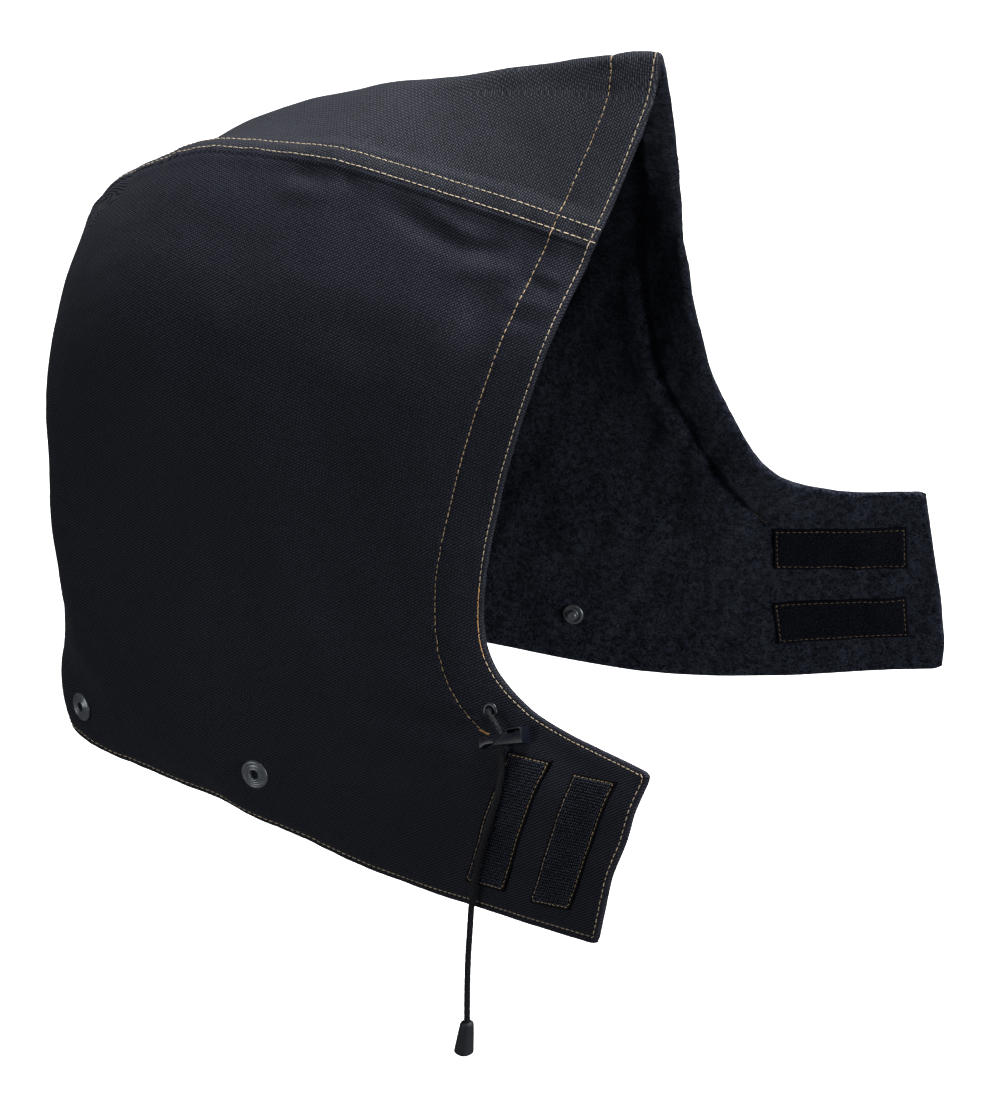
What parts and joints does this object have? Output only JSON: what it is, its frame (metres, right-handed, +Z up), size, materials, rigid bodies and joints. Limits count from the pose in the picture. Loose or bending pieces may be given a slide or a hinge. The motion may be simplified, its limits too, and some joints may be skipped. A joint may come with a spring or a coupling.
{
  "type": "detachable lined work hood",
  "caption": "Detachable fleece-lined canvas hood with open chin flaps, hook-and-loop closure patches, collar snaps and a drawcord with a spring cord lock.",
  "frame": {"origin": "where the crown of the wearer's head meets the lining, on the centre plane", "axes": "+Z up, -Y the way the wearer faces, -X the wearer's right"},
  "size_m": [0.3214, 0.3916, 0.4702],
  "materials": {
    "canvas": "black polyester canvas with a fine diagonal basket weave, matt with a slight sheen",
    "fleece": "black-navy brushed fleece with a short matted pile",
    "hook_tape": "black woven hook tape with rows of stiff hooks",
    "loop_tape": "black-navy loop tape with a fine fuzzy pile",
    "dark_metal": "gunmetal-coated brass, satin",
    "plastic": "black moulded plastic, satin",
    "cord": "black braided elastic cord, 3 mm",
    "spring_steel": "bright nickel-plated spring wire"
  },
  "bodies": {
    "hood": {"crown_panel": "canvas", "side_panel_right": "canvas", "side_panel_left": "canvas", "lining_crown": "fleece", "lining_right": "fleece", "lining_left": "fleece", "hook_patch_front": "hook_tape", "hook_patch_rear": "hook_tape", "loop_patch_upper": "loop_tape", "loop_patch_lower": "loop_tape", "snap_ring_right_back": "dark_metal", "snap_ring_right_side": "dark_metal", "snap_ring_left_side": "dark_metal", "snap_ring_left_back": "dark_metal", "snap_stud_right_back": "dark_metal", "snap_stud_right_side": "dark_metal", "snap_stud_left_side": "dark_metal", "snap_stud_left_back": "dark_metal", "cord_eyelet": "dark_metal", "drawcord": "cord", "lock_barrel": "plastic", "lock_spring": "spring_steel", "cord_end": "plastic"},
    "plunger": {"lock_plunger": "plastic"}
  },
  "joints": [
    {"name": "plunger_slide", "type": "slide", "parent": "hood", "child": "plunger", "axis": [0, -0.9023, 0.4311], "range_m": [0, 0.0032], "stiffness_N_per_m": 400, "springref_m": -0.004, "deforming": ["lock_spring"]}
  ]
}
